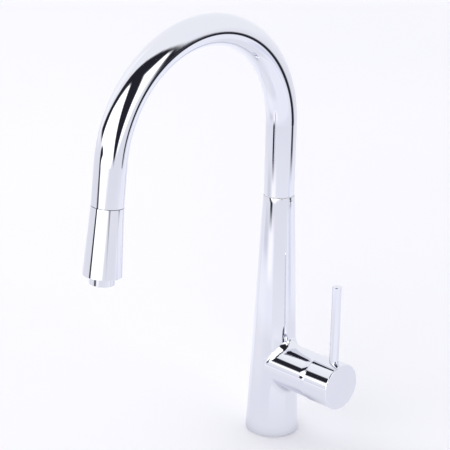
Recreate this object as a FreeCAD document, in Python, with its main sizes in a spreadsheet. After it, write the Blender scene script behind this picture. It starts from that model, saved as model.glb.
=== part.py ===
"""Pull-down kitchen faucet with a side lever, as a parametric FreeCAD document.

Frame: millimetres, +Z up, origin at the centre of the foot on the top of the deck.
The spout points towards -Y and the handle stands out towards +X.
Every size is a cell of the sheet "Sizes", and each piece is bound to those cells.
"""
import FreeCAD, Part
import Sketcher
import math
import os
import re
from FreeCAD import Placement, Rotation, Vector

SIZES = [
    # foot, shell and deck
    ("foot_radius", 25.0, "outer radius of the shell at the foot"),
    ("shell_top_radius", 14.4, "outer radius of the shell under the spout"),
    ("shell_height", 232.3, "height of the shell above its gasket"),
    ("shell_wall", 2.4, "wall of the tapered shell"),
    ("gasket_thickness", 1.0, "rubber gasket between shell and deck"),
    ("gasket_set_back", 1.2, "gasket edge inside the foot's edge"),
    ("gasket_width", 5.4, "radial width of the gasket"),
    ("plate_thickness", 4.8, "steel plate that closes the foot"),
    ("plate_play", 0.1, "plate inside the shell, at its upper face"),
    ("shank_radius", 16.5, "M33 shank through the deck"),
    ("shank_bore", 13.6, "radius of the way for hoses through the shank"),
    ("shank_drop", 58.0, "shank length below the deck's top"),
    ("shank_collar", 1.5, "collar of the shank on the foot plate"),
    ("deck_thickness", 30.0, "deck clamped between gasket and washer"),
    ("rubber_thickness", 3.0, "rubber washer under the deck"),
    ("washer_thickness", 2.0, "steel washer under the rubber one"),
    ("washer_radius", 27.0, "outer radius of both washers"),
    ("washer_clearance", 0.4, "washers around the shank"),
    ("nut_length", 12.0, "hexagonal mounting nut"),
    ("nut_flats", 52.0, "nut across its flats"),
    ("jack_radius", 2.5, "M5 jack screws in the nut"),
    ("jack_circle", 21.3, "radius of the circle of jack screws"),
    ("jack_length", 18.0, "length of a jack screw"),
    # side boss and valve
    ("handle_height", 69.0, "boss axis above the deck"),
    ("boss_set_in", 1.1, "boss inside the shell's side at the handle's height"),
    ("boss_radius", "=foot_radius - boss_set_in - (foot_radius - shell_top_radius)"
     " * (handle_height - gasket_thickness) / shell_height", "outer radius of the boss and of its dome"),
    ("boss_bore", 18.0, "bore of the boss"),
    ("boss_blend", 8.0, "fillet between boss and shell"),
    ("pivot_reach", 50.5, "lever pivot and dome centre, from the shell's axis"),
    ("rim_offset", 6.5, "cap's rim beyond the pivot"),
    ("seam_play", 0.3, "gap between dome and cap"),
    ("valve_back", 9.0, "back of the valve body, from the shell's axis"),
    ("valve_radius", 17.4, "valve body in the boss"),
    ("neck_radius", 15.4, "threaded neck of the valve body"),
    ("neck_rise", 5.5, "front of the neck beyond the pivot"),
    ("seat_set_back", 28.5, "seat of the cartridge behind the pivot"),
    ("seat_radius", 12.6, "bore for the cartridge"),
    ("nut_thread_radius", 13.6, "thread of the cartridge nut"),
    ("block_radius", 19.4, "port block, inside the shell"),
    ("block_back", 8.2, "back face of the port block"),
    ("block_foot", 30.0, "port block's lower face above the deck"),
    ("port_radius", 3.6, "threaded hose ports"),
    ("port_depth", 15.0, "threaded depth of the ports"),
    ("channel_radius", 2.2, "drilled water channels"),
    ("channel_cover", 2.4, "metal left behind the water channels"),
    ("inlet_port_reach", 11.4, "hot and cold ports, from the shell's axis"),
    ("inlet_port_side", 8.6, "hot and cold ports, to each side"),
    ("outlet_port_reach", 14.6, "mixed water port, from the shell's axis"),
    # cartridge
    ("seal_thickness", 0.8, "lip seals under the cartridge"),
    ("seal_width", 0.7, "radial width of the lip seals"),
    ("base_thickness", 3.4, "cartridge base"),
    ("base_radius", 12.4, "cartridge base"),
    ("disc_thickness", 3.8, "fixed ceramic disc"),
    ("fixed_disc_radius", 11.2, "fixed ceramic disc"),
    ("disc_play", 0.05, "water film between the discs"),
    ("moving_disc_thickness", 2.95, "moving ceramic disc"),
    ("moving_disc_radius", 8.0, "moving ceramic disc"),
    ("inlet_hole_side", 4.8, "inlet holes in the discs, to each side"),
    ("inlet_hole_rise", 2.6, "inlet holes above the cartridge axis"),
    ("outlet_hole_drop", 3.0, "outlet hole below the cartridge axis"),
    ("hole_radius", 1.7, "holes in discs and cartridge base"),
    ("recess_radius", 4.4, "mixing recess in the moving disc"),
    ("recess_drop", 1.4, "mixing recess below the cartridge axis"),
    ("recess_depth", 1.5, "mixing recess"),
    ("housing_radius", 12.5, "outside of the cartridge housing"),
    ("housing_bore", 11.4, "inside of the cartridge housing"),
    ("housing_set_back", 2.0, "front of the housing behind the pivot"),
    ("housing_lip", 1.2, "front lip of the housing"),
    ("cartridge_nut_length", 5.0, "nut that holds the cartridge"),
    ("keyway_width", 3.0, "crossed keyways for the nut's spanner"),
    ("keyway_depth", 1.5, "crossed keyways for the nut's spanner"),
    ("joint_overlap", 1.0, "solids of one piece that run into each other"),
    ("stem_arm", 9.0, "stem's ball behind the pivot"),
    ("ball_radius", 2.5, "ball end of the stem"),
    ("ball_play", 0.25, "ball in its pocket"),
    ("carrier_thickness", 3.0, "round foot of the disc carrier"),
    ("carrier_width", 8.0, "block of the disc carrier"),
    ("carrier_set_back", 7.0, "front of the carrier behind the pivot"),
    ("driver_radius", 11.1, "flange of the driver"),
    ("driver_set_back", 6.5, "back of the driver behind the pivot"),
    ("driver_flange", 3.0, "thickness of the driver's flange"),
    ("driver_neck", 8.8, "neck of the driver"),
    ("driver_rise", 5.0, "front of the driver beyond the pivot"),
    ("running_play", 0.2, "between turning pieces of the cartridge"),
    ("fork_length", 6.5, "driver's fork beside the disc carrier"),
    ("fork_width", 3.2, "each arm of the fork"),
    ("fork_height", 8.0, "fork arms along the lever"),
    ("stem_width", 7.0, "square stem"),
    ("stem_set_back", 5.5, "square part begins behind the pivot"),
    ("stem_tail_radius", 2.0, "round tail of the stem"),
    ("slot_half_height", 6.2, "driver's slot for the tilting stem"),
    ("slot_play", 0.3, "stem in the driver's slot, each side"),
    ("pin_radius", 1.5, "stem pivot pin"),
    ("pin_length", 17.0, "stem pivot pin"),
    ("pin_fit", 0.05, "stem on the pivot pin"),
    # bonnet, cap and lever
    ("bonnet_skirt", 17.9, "outer radius of the bonnet's threaded skirt"),
    ("bonnet_set_back", 1.5, "bonnet skirt begins behind the pivot"),
    ("shell_lip", 6.2, "boss end beyond the pivot"),
    ("dome_inside", 18.1, "inner radius of the bonnet's dome"),
    ("dome_joint", 0.5, "skirt and dome of the bonnet run into each other"),
    ("dome_mouth", 15.1, "mouth of the dome"),
    ("dome_end", 15.0, "length of dome kept beyond the pivot"),
    ("cap_step", 0.9, "cap outside the boss"),
    ("cap_radius", "=boss_radius + cap_step", "outer radius of the handle cap"),
    ("cap_length", 27.0, "handle cap"),
    ("cap_edge", 1.0, "rounding of the cap's front edge"),
    ("hub_radius", 7.5, "hub for the stem, inside the cap"),
    ("hub_offset", 14.5, "hub begins beyond the pivot"),
    ("stem_end", 27.0, "stem's end beyond the pivot"),
    ("socket_play", 0.05, "stem in the hub, each side"),
    ("socket_end_play", 0.3, "room in the hub beyond the stem's end"),
    ("lever_offset", 23.6, "lever axis beyond the pivot"),
    ("lever_radius", 4.4, "lever rod"),
    ("lever_top", 95.5, "top of the lever above the handle axis"),
    ("lever_seat", 20.5, "foot of the lever above the handle axis"),
    ("lever_edge", 0.5, "rounding of the lever's top"),
    ("root_radius", 3.0, "threaded root of the lever"),
    ("root_length", 11.0, "threaded root of the lever"),
    ("grub_radius", 2.5, "M5 grub screw"),
    ("grub_length", 12.0, "M5 grub screw"),
    ("key_radius", 1.4, "hexagonal key of the grub screw, to its corners"),
    ("key_depth", 3.0, "hexagonal key of the grub screw"),
    ("plug_length", 1.8, "plug over the grub screw"),
    ("plug_depth", 0.5, "plug below the cap's surface"),
    # spout
    ("spout_radius", 14.0, "outer radius of the spout tube"),
    ("spout_wall", 1.2, "wall of the spout tube"),
    ("seam_height", 0.8, "swivel washer between shell and spout"),
    ("seam_set_back", 0.5, "swivel washer inside the spout's surface"),
    ("leg_length", 67.3, "straight leg of the spout"),
    ("leg_height", "=gasket_thickness + shell_height + seam_height + leg_length",
     "top of the spout's straight leg above the deck"),
    ("first_bend", 98.8, "centre-line radius of the first quarter of the arch"),
    ("second_bend", 106.2, "centre-line radius of the falling side of the arch"),
    ("outlet_lean", 5.7, "lean of the spout's end from upright, in degrees"),
    ("tip_length", 34.8, "straight end of the spout"),
    ("bearing_bore", 12.15, "bore of the shell for the spigot's rings"),
    ("bearing_depth", 44.5, "length of the bearing bore"),
    ("spigot_radius", 11.6, "spigot in the shell"),
    ("spigot_bore", 8.9, "way for the hose through the spigot"),
    ("spigot_drop", 48.0, "spigot below the shell's top"),
    ("spigot_rise", 30.0, "spigot inside the spout tube"),
    ("ring_fit", 0.05, "bearing rings in the bore"),
    ("ring_seat", 11.3, "groove radius under the bearing rings"),
    ("ring_length", 8.0, "bearing rings"),
    ("upper_ring_drop", 12.0, "upper ring's foot below the shell's top"),
    ("lower_ring_drop", 40.0, "lower ring's foot below the shell's top"),
    ("clip_thickness", 1.2, "retaining clip"),
    ("clip_seat", 10.4, "groove radius of the retaining clip"),
    ("clip_radius", 13.2, "outer radius of the retaining clip"),
    ("clip_drop", 46.0, "clip's foot below the shell's top"),
    ("clip_gap", 60.0, "open angle of the clip, in degrees"),
    ("stop_drop", 22.0, "stop screw below the shell's top"),
    ("stop_radius", 2.0, "M4 stop screw"),
    ("stop_tip", 10.2, "tip of the stop screw from the axis"),
    ("stop_head", 14.9, "outer end of the stop screw from the axis"),
    ("stop_groove", 9.9, "bottom of the stop groove"),
    ("stop_play", 0.4, "stop screw in its groove, each side"),
    ("swivel_range", 60.0, "turn of the spout to each side, in degrees"),
    # hose
    ("hose_radius", 6.0, "braided spray hose"),
    ("hose_bore", 4.0, "bore of the hose"),
    ("hose_break", 0.3, "gap where one hose solid ends and the next begins"),
    ("stub_length", 14.0, "hose end held in the ferrule"),
    ("barb_set_back", 2.0, "connector's barb short of the ferrule's end"),
    # docking of the spray head
    ("dock_bore", 10.4, "bore of the dock insert"),
    ("dock_start", 14.5, "dock insert begins beyond the bend"),
    ("dock_throat", 7.6, "narrow throat of the dock insert"),
    ("dock_throat_length", 3.0, "narrow throat of the dock insert"),
    ("dock_set_back", 0.2, "dock insert inside the spout's end"),
    ("magnet_thickness", 3.0, "ring magnet in the dock"),
    ("dock_gap", 0.5, "seam between spout and spray head"),
    # spray head
    ("head_top_radius", 14.0, "spray head at the seam"),
    ("head_end_radius", 17.0, "spray head at its lower end"),
    ("head_length", 59.4, "spray head"),
    ("head_wall", 1.8, "wall of the spray head's shell"),
    ("head_floor", 2.0, "top and bottom walls of the shell"),
    ("head_mouth", 11.7, "opening for the nozzle"),
    ("head_edge", 0.6, "rounding of the shell's lower edge"),
    ("collar_radius", 9.9, "docking collar of the head"),
    ("collar_rise", 12.0, "docking collar above the seam"),
    ("collar_bore", 7.6, "bore of the docking collar"),
    ("collar_flange", 11.9, "flange of the collar inside the shell"),
    ("collar_flange_length", 2.5, "flange of the collar inside the shell"),
    ("steel_ring_length", 1.4, "steel ring the magnet holds"),
    ("core_radius", 11.6, "waterway core in the head"),
    ("core_start", 5.0, "core begins below the seam"),
    ("core_end", 57.3, "core ends below the seam"),
    ("retainer_radius", 8.6, "threaded ring that retains the connector"),
    ("retainer_length", 4.3, "threaded ring that retains the connector"),
    ("thread_relief", 0.2, "room at the end of a threaded seat"),
    ("flange_radius", 7.0, "turning flange of the connector"),
    ("flange_start", 9.6, "turning flange below the seam"),
    ("flange_length", 1.6, "turning flange of the connector"),
    ("chamber_radius", 7.3, "chamber around the flange"),
    ("chamber_end", 11.5, "chamber ends below the seam"),
    ("connector_collar", 1.5, "collar that stops the ferrule"),
    ("barrel_radius", 6.0, "barrel of the connector"),
    ("barrel_end", 22.0, "barrel ends below the seam"),
    ("barrel_fit", 0.05, "barrel in the core"),
    ("barrel_bore", 3.0, "water way through the connector"),
    ("oring_seat", 4.9, "groove radius under the O-rings"),
    ("oring_length", 1.8, "O-rings on the barrel"),
    ("first_oring", 13.0, "first O-ring below the seam"),
    ("second_oring", 17.0, "second O-ring below the seam"),
    ("ferrule_radius", 6.9, "crimped ferrule on the hose"),
    ("filter_start", 24.0, "filter screen below the seam"),
    ("filter_length", 0.8, "filter screen"),
    ("valve_chamber", 7.5, "chamber of the check valve"),
    ("check_play", 0.1, "check valve and screen in the chamber"),
    ("check_end", 37.0, "check valve ends below the seam"),
    ("check_bore", 4.0, "way through the check valve"),
    ("poppet_radius", 2.6, "closed nose of the check valve"),
    ("poppet_start", 3.0, "nose inside the check valve"),
    ("poppet_end", 6.0, "nose inside the check valve"),
    ("check_seat", 8.0, "cone of the check valve ends"),
    ("aerator_start", 38.0, "aerator chamber begins below the seam"),
    ("aerator_thread", 10.4, "thread between core and nozzle"),
    ("washer_length", 1.8, "sealing washer over the aerator"),
    ("washer_bore", 7.4, "sealing washer over the aerator"),
    ("nozzle_radius", 11.1, "nozzle ring below the head"),
    ("nozzle_length", 7.5, "nozzle ring below the head"),
    ("nozzle_bore", 9.3, "bore of the nozzle ring"),
    ("nozzle_edge", 0.5, "rounding of the nozzle's lower edge"),
    ("insert_start", 44.0, "aerator insert begins below the seam"),
    ("insert_set_back", 0.9, "aerator face inside the nozzle"),
    ("insert_wall", 1.3, "side wall of the aerator insert"),
    ("insert_face", 3.0, "perforated face of the aerator insert"),
    ("jet_radius", 0.65, "holes of the aerator face"),
    ("jet_pitch", 2.3, "rings of holes of the aerator face"),
]
JET_RINGS = 3
ALIASES = {alias for alias, _, _ in SIZES}

doc = FreeCAD.newDocument("PullDownFaucet")
sheet = doc.addObject("Spreadsheet::Sheet", "Sizes")
for row, (alias, number, note) in enumerate(SIZES, start=1):
    sheet.set(f"A{row}", alias)
    sheet.set(f"B{row}", str(number))
    sheet.setAlias(f"B{row}", alias)
    sheet.set(f"C{row}", note)
doc.recompute()

nodes = []

# Places along the handle axis that many pieces share, from the shell's axis.
PLACES = {
    "seat_reach": "(pivot_reach - seat_set_back)",
    "housing_front": "(pivot_reach - housing_set_back)",
    "neck_front": "(pivot_reach + neck_rise)",
    "carrier_front": "(pivot_reach - carrier_set_back)",
    "driver_back": "(pivot_reach - driver_set_back)",
    "driver_front": "(pivot_reach + driver_rise)",
    "stem_back": "(pivot_reach - stem_set_back)",
    "bonnet_back": "(pivot_reach - bonnet_set_back)",
}

# Other places, as expressions of the sheet's cells.
SHELL_TOP = "gasket_thickness + shell_height"
SPOUT_FOOT = f"{SHELL_TOP} + seam_height"
SPIGOT_FOOT = f"{SHELL_TOP} - spigot_drop"
CAVITY_HEIGHT = "(shell_height - bearing_depth)"
CAVITY_TOP_RADIUS = ("foot_radius - shell_wall"
                     f" - (foot_radius - shell_top_radius) * {CAVITY_HEIGHT} / shell_height")
PLATE_RADIUS = ("foot_radius - shell_wall - plate_play"
                " - (foot_radius - shell_top_radius) * plate_thickness / shell_height")
SEAL_X = "seat_reach"
BASE_X = "seat_reach + seal_thickness"
FIXED_X = f"{BASE_X} + base_thickness"
MOVING_X = f"{FIXED_X} + disc_thickness + disc_play"
CARRIER_X = f"{MOVING_X} + moving_disc_thickness"
BALL_X = "pivot_reach - stem_arm"
RIM_X = "pivot_reach + rim_offset"
LEVER_X = "pivot_reach + lever_offset"
BEND_END_Y = "-(first_bend + second_bend * cos(outlet_lean * 1 deg))"
BEND_END_Z = "leg_height + first_bend - second_bend + second_bend * sin(outlet_lean * 1 deg)"
HEAD_START = "tip_length + dock_gap"


def bound(text):
    """The expression with each shared place written out and each size named as a cell of the sheet."""
    text = re.sub(r"[a-z_]+", lambda word: PLACES.get(word[0], word[0]), text)
    return re.sub(r"[a-z_]+", lambda word: "Sizes." + word[0] if word[0] in ALIASES else word[0], text)


def size(alias):
    """The number in a cell, for the few places that can't hold an expression."""
    return float(sheet.get(alias))


def bind(thing, **expressions):
    """Binds properties of an object to expressions of the sheet's cells."""
    for name, text in expressions.items():
        thing.setExpression(name, bound(text))
    return thing


def put(thing, x="0", y="0", z="0", turn=None):
    """Places an object: turn is an (axis, degrees) pair or None."""
    if turn:
        thing.Placement = Placement(Vector(0, 0, 0), Rotation(*turn))
    for letter, text in zip("xyz", (x, y, z)):
        thing.setExpression("Placement.Base." + letter, bound(text))
    return thing


ALONG_X = (Vector(0, 1, 0), 90)
ALONG_Y = (Vector(1, 0, 0), -90)
DOWN = (Vector(1, 0, 0), 180)


def at_handle(thing, x, y="0", rise="0"):
    """Places an object with its local Z along the handle axis."""
    return put(thing, x, y, f"handle_height + {rise}", ALONG_X)


def at_tip(thing, along):
    """Places an object with its local Z down the spray head's axis, that far beyond the bend."""
    thing.Placement = Placement(Vector(0, 0, 0), Rotation(Vector(1, 0, 0), 170))
    thing.setExpression("Placement.Rotation.Angle", bound("(180 - outlet_lean) * 1 deg"))
    thing.setExpression("Placement.Base.y", bound(f"{BEND_END_Y} - ({along}) * sin(outlet_lean * 1 deg)"))
    thing.setExpression("Placement.Base.z", bound(f"{BEND_END_Z} - ({along}) * cos(outlet_lean * 1 deg)"))
    return thing


def in_head(thing, below="0"):
    """Places an object on the head's axis, that far below the seam with the spout."""
    return at_tip(thing, f"{HEAD_START} + {below}")


def shape(kind, name, **expressions):
    """A Part primitive with its sizes bound."""
    return bind(doc.addObject("Part::" + kind, name), **expressions)


def cylinder(name, radius, length, **more):
    return shape("Cylinder", name, Radius=radius, Height=length, **more)


def box(name, length, width, height):
    return shape("Box", name, Length=length, Width=width, Height=height)


def origin_plane(body, role):
    return next(item for item in body.Origin.OriginFeatures if item.Role == role)


def turned(name, outline):
    """A turned piece: (radius, height) corners revolved about the local Z axis, heights from 0 up."""
    body = doc.addObject("PartDesign::Body", name)
    sketch = body.newObject("Sketcher::SketchObject", name + "_outline")
    sketch.AttachmentSupport = (origin_plane(body, "XZ_Plane"), [""])
    sketch.MapMode = "FlatFace"
    count = len(outline)
    rough = [Vector(20 + 9 * math.cos(2 * math.pi * i / count), 20 + 9 * math.sin(2 * math.pi * i / count), 0)
             for i in range(count)]
    for i in range(count):
        sketch.addGeometry(Part.LineSegment(rough[i], rough[(i + 1) % count]), False)
    for i in range(count):
        sketch.addConstraint(Sketcher.Constraint("Coincident", i, 2, (i + 1) % count, 1))
    for i, corner in enumerate(outline):
        for kind, axis, text, start in zip("XY", (-2, -1), corner, rough[i]):
            if text == "0":
                sketch.addConstraint(Sketcher.Constraint("PointOnObject", i, 1, axis))
                continue
            place = sketch.addConstraint(Sketcher.Constraint("Distance" + kind, -1, 1, i, 1, start))
            sketch.renameConstraint(place, f"corner_{i}_{kind}")
            sketch.setExpression(f"Constraints.corner_{i}_{kind}", bound(text))
    solid = body.newObject("PartDesign::Revolution", name + "_turned")
    solid.Profile = sketch
    solid.ReferenceAxis = (sketch, ["V_Axis"])
    solid.Angle = 360
    sketch.Visibility = False
    return body


def ring(name, inner, outer, length):
    """A plain ring from its local Z = 0 up."""
    return turned(name, [(inner, "0"), (outer, "0"), (outer, length), (inner, length)])


def joined(name, parts):
    whole = doc.addObject("Part::MultiFuse", name)
    whole.Shapes = parts
    return whole


def cut(name, base, tools):
    """base less every tool."""
    result = doc.addObject("Part::Cut", name)
    result.Base = base
    result.Tool = tools[0] if len(tools) == 1 else joined(name + "_tools", tools)
    return result


def rounded(name, base, radius, wanted):
    """base with a fillet on each edge that wanted(edge) picks."""
    doc.recompute()
    result = doc.addObject("Part::Fillet", name)
    result.Base = base
    result.Edges = [(i, radius, radius) for i, edge in enumerate(base.Shape.Edges, 1) if wanted(edge)]
    return result


def circle_at(place, radius):
    """Picks the circular edges of that radius whose centre is at that place."""
    def wanted(edge):
        curve = edge.Curve
        return (isinstance(curve, Part.Circle) and abs(curve.Radius - radius) < 0.01
                and curve.Center.distanceToPoint(place) < 0.01)
    return wanted


def node(thing, label):
    """Names a finished sub-part and keeps it for the export."""
    thing.Label = label
    nodes.append(thing)
    return thing


# ---------------------------------------------------------------- foot and deck

def make_foot():
    gasket = ring("GasketRing", "foot_radius - gasket_set_back - gasket_width",
                  "foot_radius - gasket_set_back", "gasket_thickness")
    node(gasket, "base_gasket")
    plate = ring("FootPlate", "shank_radius", PLATE_RADIUS, "plate_thickness")
    node(put(plate, z="gasket_thickness"), "base_plate")
    collar_foot = "shank_drop + gasket_thickness + plate_thickness"
    shank = turned("Shank", [
        ("shank_bore", "0"), ("shank_radius", "0"), ("shank_radius", collar_foot),
        ("shank_radius + shank_collar", collar_foot),
        ("shank_radius + shank_collar", collar_foot + " + shank_collar"),
        ("shank_bore", collar_foot + " + shank_collar")])
    node(put(shank, z="-shank_drop"), "threaded_shank")


def make_deck_clamp():
    hole = "shank_radius + washer_clearance"
    rubber = ring("RubberRing", hole, "washer_radius", "rubber_thickness")
    node(put(rubber, z="-deck_thickness - rubber_thickness"), "rubber_washer")
    steel_foot = "-deck_thickness - rubber_thickness - washer_thickness"
    steel = ring("SteelRing", hole, "washer_radius", "washer_thickness")
    node(put(steel, z=steel_foot), "clamp_washer")
    nut_foot = steel_foot + " - nut_length"
    blank = shape("Prism", "NutBlank", Circumradius="nut_flats / 2 / cos(30 deg)", Height="nut_length")
    blank.Polygon = 6
    put(blank, z=nut_foot)
    thread = put(cylinder("NutThread", "shank_radius", "nut_length"), z=nut_foot)
    taps = []
    screws = []
    for side, sign in (("Left", "-"), ("Right", "")):
        place = {"y": f"{sign}jack_circle"}
        taps.append(put(cylinder(f"JackTap{side}", "jack_radius", "nut_length"), z=nut_foot, **place))
        screw = cylinder(f"Jack{side}", "jack_radius", "jack_length")
        screws.append(put(screw, z=steel_foot + " - jack_length", **place))
    node(cut("MountingNut", blank, [thread] + taps), "mounting_nut")
    node(joined("JackScrews", screws), "jack_screws")


# ---------------------------------------------------------------- shell

def make_shell():
    """The tapered shell with its side boss, one casting, hollow, with the bearing bore on top."""
    outside = shape("Cone", "ShellOutside", Radius1="foot_radius", Radius2="shell_top_radius",
                    Height="shell_height")
    put(outside, z="gasket_thickness")
    boss = at_handle(cylinder("BossOutside", "boss_radius", "pivot_reach"), "0")
    whole = joined("ShellWhole", [outside, boss])

    def where_they_meet(edge):
        """The curve where the boss leaves the cone: not flat in X, and not on either end."""
        box_of = edge.BoundBox
        return box_of.XMax - box_of.XMin > 1 and box_of.XMin > 1 and box_of.YMax - box_of.YMin > 5

    blended = rounded("ShellBlended", whole, size("boss_blend"), where_they_meet)
    dome = shape("Sphere", "BossDome", Radius="boss_radius", Angle2="asin(shell_lip / boss_radius)")
    dome.Angle1 = 0
    at_handle(dome, "pivot_reach")
    cavity = shape("Cone", "ShellCavity", Radius1="foot_radius - shell_wall", Radius2=CAVITY_TOP_RADIUS,
                   Height=CAVITY_HEIGHT)
    put(cavity, z="gasket_thickness")
    bearing = put(cylinder("BearingBore", "bearing_bore", "shell_height"), z="gasket_thickness")
    bore = at_handle(cylinder("BossBore", "boss_bore", "pivot_reach + shell_lip"), "0")
    tap = cylinder("StopTap", "stop_radius", "foot_radius")
    put(tap, z=f"{SHELL_TOP} - stop_drop", turn=ALONG_Y)
    domed = joined("ShellDomed", [blended, dome])
    node(cut("Shell", domed, [cavity, bearing, bore, tap]), "body_shell")
    screw = cylinder("StopScrew", "stop_radius", "stop_head - stop_tip")
    node(put(screw, y="stop_tip", z=f"{SHELL_TOP} - stop_drop", turn=ALONG_Y), "swivel_stop_screw")


# ---------------------------------------------------------------- valve and cartridge

WATER_HOLES = {
    "Hot": ("-inlet_hole_side", "inlet_hole_rise"),
    "Cold": ("inlet_hole_side", "inlet_hole_rise"),
    "Mixed": ("0", "-outlet_hole_drop"),
}


def water_holes(name, radius, start, length):
    """The three holes along the cartridge axis."""
    return [at_handle(cylinder(name + key, radius, length), start, side, rise)
            for key, (side, rise) in WATER_HOLES.items()]


def make_valve_body():
    """Brass body: a barrel in the boss for the cartridge, and a block with the hose ports below."""
    barrel = at_handle(cylinder("ValveBarrel", "valve_radius", "housing_front - valve_back"), "valve_back")
    neck = at_handle(cylinder("ValveNeck", "neck_radius", "neck_front - valve_back"), "valve_back")
    column = put(cylinder("PortColumn", "block_radius", "handle_height - block_foot"), z="block_foot")
    half = put(box("PortHalf", "block_radius", "2 * block_radius", "handle_height - block_foot"),
               "block_back", "-block_radius", "block_foot")
    block = doc.addObject("Part::Common", "PortBlock")
    block.Base = column
    block.Tool = half
    tools = [
        at_handle(cylinder("CartridgeBore", "seat_radius", "neck_front - seat_reach"), "seat_reach"),
        at_handle(cylinder("CartridgeThread", "nut_thread_radius", "neck_front - housing_front"),
                  "housing_front"),
    ]
    tools += water_holes("Seat", "channel_radius", "valve_back + channel_cover",
                         "seat_reach - valve_back - channel_cover")
    ports = {
        "Hot": ("inlet_port_reach", "-inlet_port_side", "inlet_hole_rise"),
        "Cold": ("inlet_port_reach", "inlet_port_side", "inlet_hole_rise"),
        "Mixed": ("outlet_port_reach", "0", "-outlet_hole_drop"),
    }
    for key, (reach, side, rise) in ports.items():
        tools.append(put(cylinder("Port" + key, "port_radius", "port_depth"), reach, side, "block_foot"))
        riser = cylinder("Riser" + key, "channel_radius", f"handle_height + {rise} - block_foot")
        tools.append(put(riser, reach, side, "block_foot"))
    node(cut("ValveBody", joined("ValveBlank", [barrel, neck, block]), tools), "valve_body")


def make_cartridge():
    seals = [cut(f"Seal{i}", outer, [inner]) for i, (outer, inner) in enumerate(zip(
        water_holes("SealOutside", "hole_radius + seal_width", SEAL_X, "seal_thickness"),
        water_holes("SealInside", "hole_radius", SEAL_X, "seal_thickness")))]
    node(joined("Seals", seals), "cartridge_seals")
    base = at_handle(cylinder("BaseBlank", "base_radius", "base_thickness"), BASE_X)
    node(cut("CartridgeBase", base, water_holes("BaseHole", "hole_radius", BASE_X, "base_thickness")),
         "cartridge_base")
    disc = at_handle(cylinder("FixedBlank", "fixed_disc_radius", "disc_thickness"), FIXED_X)
    node(cut("FixedDisc", disc, water_holes("FixedHole", "hole_radius", FIXED_X, "disc_thickness")),
         "fixed_ceramic_disc")
    lip_start = f"housing_front - housing_lip - ({FIXED_X})"
    housing = turned("Housing", [
        ("housing_bore", "0"), ("housing_radius", "0"), ("housing_radius", f"housing_front - ({FIXED_X})"),
        ("driver_neck + running_play", f"housing_front - ({FIXED_X})"),
        ("driver_neck + running_play", lip_start), ("housing_bore", lip_start)])
    node(at_handle(housing, FIXED_X), "cartridge_housing")
    nut = ring("CartridgeNut", "driver_neck + 3 * running_play", "nut_thread_radius", "cartridge_nut_length")
    at_handle(nut, "housing_front")
    keyways = []
    for i, turn in enumerate((0, 90)):
        slot = box(f"NutSlot{i}", "2 * nut_thread_radius", "keyway_width", "keyway_depth")
        slot.Placement = Placement(Vector(0, 0, 0), Rotation(Vector(1, 0, 0), turn) * Rotation(*ALONG_X))
        slot.setExpression("Placement.Base.x", bound("housing_front + cartridge_nut_length - keyway_depth"))
        side, rise = ("-keyway_width / 2", "nut_thread_radius") if turn == 0 else (
            "-nut_thread_radius", "-keyway_width / 2")
        slot.setExpression("Placement.Base.y", bound(side))
        slot.setExpression("Placement.Base.z", bound(f"handle_height + {rise}"))
        keyways.append(slot)
    node(cut("SlottedNut", nut, keyways), "cartridge_nut")


def make_shutter():
    """The moving ceramic disc and its carrier: the stem's ball pushes them across the fixed disc."""
    blank = at_handle(cylinder("MovingBlank", "moving_disc_radius", "moving_disc_thickness"), MOVING_X)
    recess = cylinder("MixingRecess", "recess_radius", "recess_depth")
    at_handle(recess, MOVING_X, rise="-recess_drop")
    node(cut("MovingDisc", blank, [recess]), "moving_ceramic_disc")
    foot = at_handle(cylinder("CarrierFoot", "moving_disc_radius", "carrier_thickness"), CARRIER_X)
    block = box("CarrierBlock", f"carrier_front - ({CARRIER_X})", "carrier_width", "carrier_width")
    put(block, CARRIER_X, "-carrier_width / 2", "handle_height - carrier_width / 2")
    pocket_back = f"({BALL_X} - ball_radius - ball_play)"
    pocket = cylinder("BallPocket", "ball_radius + ball_play", f"carrier_front - {pocket_back}")
    at_handle(pocket, pocket_back)
    node(cut("DiscCarrier", joined("CarrierBlank", [foot, block]), [pocket]), "disc_carrier")


def make_driver():
    """The driver turns in the housing, carries the stem's pin, and turns the discs with its fork."""
    body = turned("DriverBlank", [
        ("0", "0"), ("driver_radius", "0"), ("driver_radius", "driver_flange"),
        ("driver_neck", "driver_flange"), ("driver_neck", "driver_front - driver_back"),
        ("0", "driver_front - driver_back")])
    at_handle(body, "driver_back")
    arms = []
    for side, place in (("Left", "-carrier_width / 2 - running_play - fork_width"),
                        ("Right", "carrier_width / 2 + running_play")):
        arm = box(f"Fork{side}", "fork_length + joint_overlap", "fork_width", "fork_height")
        arms.append(put(arm, "driver_back - fork_length", place, "handle_height - fork_height / 2"))
    half_width = "(stem_width / 2 + slot_play)"
    slot = box("StemSlot", "driver_front - driver_back", f"2 * {half_width}", "2 * slot_half_height")
    put(slot, "driver_back", f"-{half_width}", "handle_height - slot_half_height")
    hole = cylinder("DriverPinHole", "pin_radius", "2 * driver_neck")
    put(hole, "pivot_reach", "-driver_neck", "handle_height", ALONG_Y)
    node(cut("Driver", joined("DriverWhole", [body] + arms), [slot, hole]), "cartridge_driver")
    pin = cylinder("StemPin", "pin_radius", "pin_length")
    node(put(pin, "pivot_reach", "-pin_length / 2", "handle_height", ALONG_Y), "stem_pivot_pin")


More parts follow.
